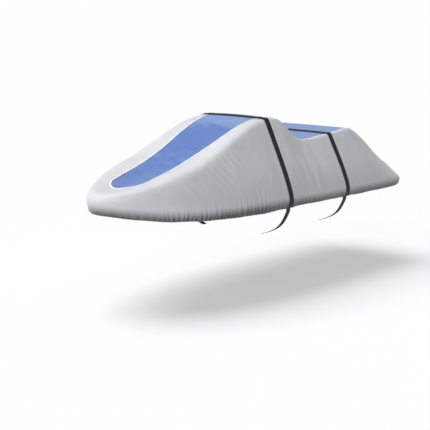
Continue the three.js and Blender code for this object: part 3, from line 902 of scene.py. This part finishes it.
def coated_polyester(name, base, light, dark, sheen, buckles, shade_and_soil=0.0, sheen_colour=None):
    """Woven polyester with a polyurethane coat: an even matt face with a faint sheen, threads just
    apart in tone, stitches in the lighter tone, and soft buckles. The second to last argument sets
    how far grime and painted shade cover it at most, under the hem and in its creases, and the last
    is the lighter colour of a painted sheen where it lies flat and high."""
    material, tree = new_material(name)
    weave, threads = plain_weave(tree)
    place = add(tree, "ShaderNodeTexCoord").outputs["Object"]
    station, _, height = add(tree, "ShaderNodeSeparateXYZ", (place,)).outputs
    seam, up, _ = uv_place(tree, "trim").outputs
    patch = add(tree, "ShaderNodeTexNoise",
                {"Vector": place, "Scale": 7.0, "Detail": 4.0, "Roughness": 0.6})
    colour = woven_colour(tree, place, weave, patch, base, light, dark)
    # Painted sheen where the cloth lies flat and high.
    if sheen_colour:
        colour = painted_top_sheen(tree, colour, height, sheen_colour)
    along = threads.outputs[0]
    rows = [stitches(tree, seam, along, SEAM_STITCHES), stitches(tree, up, along, HEM_STITCHES)]
    thread = add(tree, MATH, rows, operation="MAXIMUM")
    share = add(tree, MATH, (thread, 0.55), operation="MULTIPLY")
    mixed = add(tree, "ShaderNodeMix", {MIX_SHARE: share, MIX_FIRST: colour, MIX_SECOND: light},
                data_type="RGBA")
    colour = mixed.outputs[MIX_RESULT]
    # Grime, and painted shade where the cloth turns under and in its creases.
    if shade_and_soil:
        share = painted_shade_and_grime(tree, up, station, patch, shade_and_soil)
        mixed = add(tree, "ShaderNodeMix",
                    {MIX_SHARE: share, MIX_FIRST: colour, MIX_SECOND: linear(GRIME_AND_SHADE)},
                    data_type="RGBA")
        colour = mixed.outputs[MIX_RESULT]
    raised = add(tree, MATH, (thread, 1.5, weave), operation="MULTIPLY_ADD")
    bump = add(tree, "ShaderNodeBump",
               {"Strength": 0.35, "Distance": 0.0004, "Height": raised,
                "Normal": buckled(tree, place, buckles)})
    rough = add(tree, "ShaderNodeMapRange", {"Value": patch, "To Min": 0.52, "To Max": 0.68})
    finish_surface(tree, {
        "Base Color": colour, "Roughness": rough, "Normal": bump, "Sheen Weight": sheen,
        "Sheen Roughness": 0.4, "Specular IOR Level": 0.4,
    })
    return material


def coated_back():
    """The polyester's inner face: the coat itself, smooth, darker and slightly glossy."""
    material, tree = new_material("polyurethane_coated_back")
    place = add(tree, "ShaderNodeTexCoord").outputs["Object"]
    patch = add(tree, "ShaderNodeTexNoise", {"Vector": place, "Scale": 12.0, "Detail": 5.0})
    ramp = add(tree, "ShaderNodeValToRGB", {"Fac": patch})
    ramp.color_ramp.elements[0].color = linear("#77797C")
    ramp.color_ramp.elements[1].color = linear("#8E9093")
    weave, _ = plain_weave(tree)
    bump = add(tree, "ShaderNodeBump", {"Strength": 0.15, "Distance": 0.0003, "Height": weave})
    finish_surface(tree, {"Base Color": ramp, "Roughness": 0.42, "Normal": bump})
    return material


def piping_cord():
    """Cotton-wrapped piping cord, off-white, with the slanting ribs of its bias-cut tape."""
    material, tree = new_material("bias_tape_piping")
    slant = add(tree, MATH, uv_place(tree, "weave").outputs[:2], operation="ADD")
    height = ribs(tree, slant, PIPING_RIB)
    tone = add(tree, MATH, (height, 0.5, 0.5), operation="MULTIPLY_ADD")
    ramp = add(tree, "ShaderNodeValToRGB", {"Fac": tone})
    ramp.color_ramp.elements[0].color = linear("#F2F0E9")
    ramp.color_ramp.elements[1].color = linear("#FCFAF5")
    bump = add(tree, "ShaderNodeBump", {"Strength": 0.3, "Distance": 0.0003, "Height": height})
    finish_surface(tree, {"Base Color": ramp, "Roughness": 0.7, "Normal": bump})
    return material


def webbing():
    """Black polypropylene webbing: slanting twill ribs that catch the light, in two halves that meet
    in the middle. Its threads are drawn 2.1 mm apart, coarser than real, so that they show."""
    material, tree = new_material("polypropylene_webbing")
    uv = uv_place(tree, "weave")
    across = add(tree, MATH, (uv,), operation="ABSOLUTE")
    slant = add(tree, MATH, (across, 1.3, uv.outputs[1]), operation="MULTIPLY_ADD")
    twill, threads = ribs(tree, slant, WEBBING_RIB), ribs(tree, across, WEBBING_THREAD)
    height = add(tree, MATH, (threads, 0.35, twill), operation="MULTIPLY_ADD")
    place = add(tree, "ShaderNodeTexCoord").outputs["Object"]
    patch = add(tree, "ShaderNodeTexNoise", {"Vector": place, "Scale": 30.0, "Detail": 4.0})
    tone = add(tree, MATH, (height, 0.28, patch), operation="MULTIPLY_ADD")
    ramp = add(tree, "ShaderNodeValToRGB", {"Fac": tone})
    ramp.color_ramp.elements[0].color = linear("#101213")
    ramp.color_ramp.elements[1].color = linear("#2B2D2E")
    bump = add(tree, "ShaderNodeBump", {"Strength": 0.6, "Distance": 0.0005, "Height": height})
    finish_surface(tree, {
        "Base Color": ramp, "Roughness": 0.62, "Specular IOR Level": 0.3, "Normal": bump,
    })
    return material


class CoverSettings(bpy.types.PropertyGroup):
    """Sizes and colours of the cover"""

    cloth_thickness: FloatProperty(
        name="Cloth thickness", description="Thickness of the coated cloth",
        default=0.0012, min=0.0003, max=0.004, unit="LENGTH")
    grey: FloatVectorProperty(
        name="Grey cloth", description="Colour of the shell", subtype="COLOR", size=4,
        default=linear("#CACBCE"), min=0, max=1)
    blue: FloatVectorProperty(
        name="Blue cloth", description="Colour of the hood and seat panels", subtype="COLOR", size=4,
        default=linear("#4669AC"), min=0, max=1)
    piping_width: FloatProperty(
        name="Piping width", description="Breadth of the flattened piping along the seams",
        default=0.0105, min=0.003, max=0.02, unit="LENGTH")
    piping_height: FloatProperty(
        name="Piping height", description="How high the flattened piping is",
        default=0.0043, min=0.002, max=0.01, unit="LENGTH")
    webbing_width: FloatProperty(
        name="Webbing width", description="Width of each strap",
        default=0.05, min=0.02, max=0.08, unit="LENGTH")
    webbing_thickness: FloatProperty(
        name="Webbing thickness", description="Thickness of each strap",
        default=0.003, min=0.001, max=0.004, unit="LENGTH")
    floor_height: FloatProperty(
        name="Floor height", description="Height of the studio floor in the part's frame",
        default=-1.35, min=-4, max=-1, unit="LENGTH")


def settings():
    """The settings that the sidebar shows."""
    return bpy.context.scene.craft_cover


class COVER_OT_shell(bpy.types.Operator):
    """Lay the grey shell with its gathered hem"""

    bl_idname = "cover.shell"
    bl_label = "Grey shell"

    def execute(self, context):
        cloth, _, seat_end = laid_cloth()
        rows, columns = cloth.points.shape[:2]
        keep = np.ones((rows - 1, columns - 1), bool)
        keep[:seat_end, inboard(columns, INNER_COLUMNS)] = False
        # The grey cloth gets grime and painted shade where it turns under and in its creases.
        grey = coated_polyester(
            "pu_coated_polyester_grey", tuple(settings().grey), light=linear("#D9DADC"),
            dark=linear("#BBBCBF"), sheen=0.15, buckles=0.5, shade_and_soil=0.86)
        faces = [grey, coated_back()]
        shell = cloth_object("grey_shell", cloth, keep, settings().cloth_thickness, faces)
        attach(shell, "root")
        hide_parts("body_cloth")
        return {"FINISHED"}


class COVER_OT_panels(bpy.types.Operator):
    """Lay the blue hood panel and the blue seat panel into the shell"""

    bl_idname = "cover.panels"
    bl_label = "Blue panels"

    def execute(self, context):
        cloth, hood_end, seat_end = laid_cloth()
        rows, columns = cloth.points.shape[:2]
        # The blue cloth gets a lighter painted sheen where it lies flat and high.
        blue = coated_polyester(
            "pu_coated_polyester_blue", tuple(settings().blue), light=linear("#577ABB"),
            dark=linear("#395CA0"), sheen=0.3, buckles=0.25, sheen_colour=linear("#708ABC"))
        back = bpy.data.materials.get("polyurethane_coated_back") or coated_back()
        for name, node, first, last, flat in (
            ("blue_hood", "hood_panel", 0, hood_end - 1, (0.68, 1.78)),
            ("blue_seat", "seat_panel", hood_end, seat_end - 1, (0.74, 0.79)),
        ):
            keep = np.zeros((rows - 1, columns - 1), bool)
            keep[first:last, inboard(columns, INNER_COLUMNS - 1)] = True
            panel = cloth_object(name, cloth, keep, settings().cloth_thickness, [blue, back])
            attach(panel, "root")
            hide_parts(node)
        return {"FINISHED"}


def tube(path, normals, width, height):
    """A closed ring of flattened tube round a path that lies on the cloth."""
    along = unit(np.roll(path, -1, axis=0) - np.roll(path, 1, axis=0))
    beside = unit(np.cross(along, normals))
    above = np.cross(beside, along)
    turn = np.linspace(0, math.tau, PIPING_SIDES, endpoint=False)
    ring = (path[:, None] + height / 2 * np.cos(turn)[None, :, None] * above[:, None]
            + width / 2 * np.sin(turn)[None, :, None] * beside[:, None])
    here = np.arange(len(path) * PIPING_SIDES).reshape(-1, PIPING_SIDES)
    after = np.roll(here, -1, axis=0)
    faces = np.stack([here, after, np.roll(after, -1, axis=1), np.roll(here, -1, axis=1)], -1)
    return ring.reshape(-1, 3), faces.reshape(-1, 4), turn


def grid_uv(by_row, by_column):
    """UVs of a grid, out of one measure for each row and one for each column."""
    return np.stack(np.broadcast_arrays(by_row[:, None], by_column[None]), -1).reshape(-1, 2)


class COVER_OT_piping(bpy.types.Operator):
    """Run the light piping cord along the seam round the blue panels"""

    bl_idname = "cover.piping"
    bl_label = "Light piping"

    def execute(self, context):
        cloth, _, seat_end = laid_cloth()
        rows, columns = cloth.points.shape[:2]
        middle = columns // 2
        points = to_part(cloth.points)
        normals = outward_normals(points.reshape(-1, 3), grid_quads(rows, columns))
        normals = normals.reshape(points.shape)
        inner, outer = middle - INNER_COLUMNS + 1, middle - INNER_COLUMNS
        port = (points[:seat_end, inner] + points[:seat_end, outer]) / 2
        port_up = normals[:seat_end, inner] + normals[:seat_end, outer]
        port[0, 1] = 0
        port_up[0, 1] = 0
        rear = np.arange(inner + CORNER_COLUMNS, middle + 1)
        port = np.concatenate([port, (points[seat_end - 1, rear] + points[seat_end, rear]) / 2])
        port_up = np.concatenate([port_up, normals[seat_end - 1, rear] + normals[seat_end, rear]])
        path = np.concatenate([port, (port * ACROSS)[-2:0:-1]])
        up = unit(np.concatenate([port_up, (port_up * ACROSS)[-2:0:-1]]))
        width, height = settings().piping_width, settings().piping_height
        ring, faces, turn = tube(path + up * height * PIPING_LIFT, up, width, height)
        uv = grid_uv(run_of(path), turn * width / 2)
        cord = make_object("light_piping", ring, faces, {"weave": uv}, [piping_cord()])
        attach(cord, "root")
        return {"FINISHED"}


def webbing_points(middle, half_width, thickness):
    """Upper and lower face of a strap that lies on the cloth and runs on below both hems, thinner
    along its edges, and where its columns lie across it."""
    shares = np.linspace(-1, 1, WEBBING_COLUMNS)
    x = middle + shares * half_width / MM
    layout = Layout(station_at(x), lambda it: it.total * np.linspace(0, 1, WEBBING_ROWS)[None])
    lying = {}
    for side in (-1, 1):
        lying[side] = relief(layout, side, trimmed=False) + WEBBING_GAP
        for place, (height, width) in ((layout.seam, OVER_PIPING), (layout.up, OVER_HEM)):
            lying[side] = lying[side] + height * ridge(place, width)
    tail = smooth_through(STRAP_TAIL, 5)
    way = unit(np.gradient(tail, axis=0))
    rim = (1 - 0.4 * np.abs(shares) ** 8)[:, None]
    faces = []
    for lift in (thickness / MM * rim, 0 * rim):
        sides = []
        for side in (-1, 1):
            points = layout.points + layout.normals * (lying[side] + lift)[..., None]
            points[:, 0, 1] = 0
            out = tail[None, :, 0] - lift * way[None, :, 1]
            up = tail[None, :, 1] + lift * way[None, :, 0]
            below = np.stack([np.broadcast_to(x[:, None], out.shape), -out, up], -1)
            sides.append(np.concatenate([points, below], axis=1))
        faces.append(both_sides(sides, mirror=True))
    return *faces, shares


class COVER_OT_straps(bpy.types.Operator):
    """Lay the two webbing straps over the cover and under it"""

    bl_idname = "cover.straps"
    bl_label = "Webbing straps"

    def execute(self, context):
        black = webbing()
        half, thickness = settings().webbing_width / 2, settings().webbing_thickness
        for name, node, middle in (
            ("console_strap", "front_strap", FRONT_STRAP_X),
            ("seat_strap", "rear_strap", REAR_STRAP_X),
        ):
            over, under, shares = webbing_points(middle, half, thickness)
            rows, columns = over.shape[:2]
            outer, inner = (to_part(face.reshape(-1, 3)) for face in (over, under))
            points, faces = closed_sheet(outer, inner, grid_quads(rows, columns))
            run = run_of(over[rows // 2]) * MM
            uv = grid_uv(shares * half, run)
            strap = make_object(name, points, faces, {"weave": uv}, [black])
            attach(strap, "root")
            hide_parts(node)
        return {"FINISHED"}


def opal_acrylic():
    """Opal acrylic lit from below, so that the cover's shadow on it stays pale."""
    material, tree = new_material("opal_acrylic_floor")
    finish_surface(tree, {
        "Base Color": linear("#B4B4B5"), "Roughness": 0.9, "Specular IOR Level": 0.1,
        "Emission Color": (1, 1, 1, 1), "Emission Strength": 0.42,
    })
    return material


def lay_floor(scene):
    """One wide flat floor."""
    size, z = FLOOR_HALF_SIZE, settings().floor_height
    mesh = bpy.data.meshes.new("floor")
    corners = [(-size, -size, z), (size, -size, z), (size, size, z), (-size, size, z)]
    mesh.from_pydata(corners, [], [(0, 1, 2, 3)])
    mesh.materials.append(opal_acrylic())
    floor = bpy.data.objects.new("floor", mesh)
    scene.collection.objects.link(floor)
    return floor


def light_studio(scene):
    """A room that is bright up to the horizon and dim above it, and two wide soft lamps."""
    world = bpy.data.worlds.new("studio")
    world.use_nodes = True
    tree = world.node_tree
    place = add(tree, "ShaderNodeTexCoord").outputs["Generated"]
    height = add(tree, "ShaderNodeSeparateXYZ", (place,)).outputs[2]
    ramp = add(tree, "ShaderNodeValToRGB", {"Fac": height})
    low, high = ramp.color_ramp.elements
    low.color = (0.85, 0.85, 0.85, 1)
    low.position = 0.1
    high.color = (0.19, 0.192, 0.2, 1)
    high.position = 0.3
    tree.links.new(ramp.outputs[0], tree.nodes["Background"].inputs["Color"])
    scene.world = world
    scene.view_settings.view_transform = "Standard"
    for name, (way, spread, power) in LAMPS.items():
        light = bpy.data.lights.new(name, "SUN")
        light.energy = power
        light.angle = math.radians(spread)
        lamp = bpy.data.objects.new(name, light)
        lamp.rotation_euler = Vector(way).to_track_quat("-Z", "Y").to_euler()
        scene.collection.objects.link(lamp)


def place_camera(scene):
    """The photo's camera."""
    azimuth, elevation = math.radians(CAMERA_AZIMUTH), math.radians(CAMERA_ELEVATION)
    right = Vector((math.cos(azimuth), -math.sin(azimuth), 0))
    back = Vector((-math.sin(azimuth) * math.cos(elevation),
                   -math.cos(azimuth) * math.cos(elevation), math.sin(elevation)))
    turn = Matrix((right, back.cross(right), back)).transposed().to_4x4()
    data = bpy.data.cameras.new("photo_camera")
    data.lens = CAMERA_LENS
    data.sensor_width = CAMERA_SENSOR
    camera = bpy.data.objects.new("photo_camera", data)
    camera.matrix_world = Matrix.Translation(CAMERA_PLACE) @ turn
    scene.collection.objects.link(camera)
    scene.camera = camera


class COVER_OT_stage(bpy.types.Operator):
    """Set the plain pale floor, the soft studio light and the camera"""

    bl_idname = "cover.stage"
    bl_label = "Stage and camera"

    def execute(self, context):
        floor = lay_floor(context.scene)
        light_studio(context.scene)
        place_camera(context.scene)
        return {"FINISHED"}


class COVER_PT_sidebar(bpy.types.Panel):
    """Lists the cover's pieces and measures"""

    bl_idname = "COVER_PT_sidebar"
    bl_label = "Watercraft cover"
    bl_space_type = "VIEW_3D"
    bl_region_type = "UI"
    bl_category = "Cover"

    def draw(self, context):
        for name in settings().bl_rna.properties.keys():
            if name not in ("rna_type", "name"):
                self.layout.prop(settings(), name)
        for operator in OPERATORS:
            self.layout.operator(operator.bl_idname)


OPERATORS = (COVER_OT_shell, COVER_OT_panels, COVER_OT_piping, COVER_OT_straps, COVER_OT_stage)
CLASSES = (CoverSettings, *OPERATORS, COVER_PT_sidebar)


def register():
    for cls in CLASSES:
        bpy.utils.register_class(cls)
    bpy.types.Scene.craft_cover = PointerProperty(type=CoverSettings)


def unregister():
    del bpy.types.Scene.craft_cover
    for cls in reversed(CLASSES):
        bpy.utils.unregister_class(cls)


def main():
    """Builds the cover and its stage."""
    register()
    bpy.ops.cover.shell()
    bpy.ops.cover.panels()
    bpy.ops.cover.piping()
    bpy.ops.cover.straps()
    bpy.ops.cover.stage()


if __name__ == "__main__":
    main()
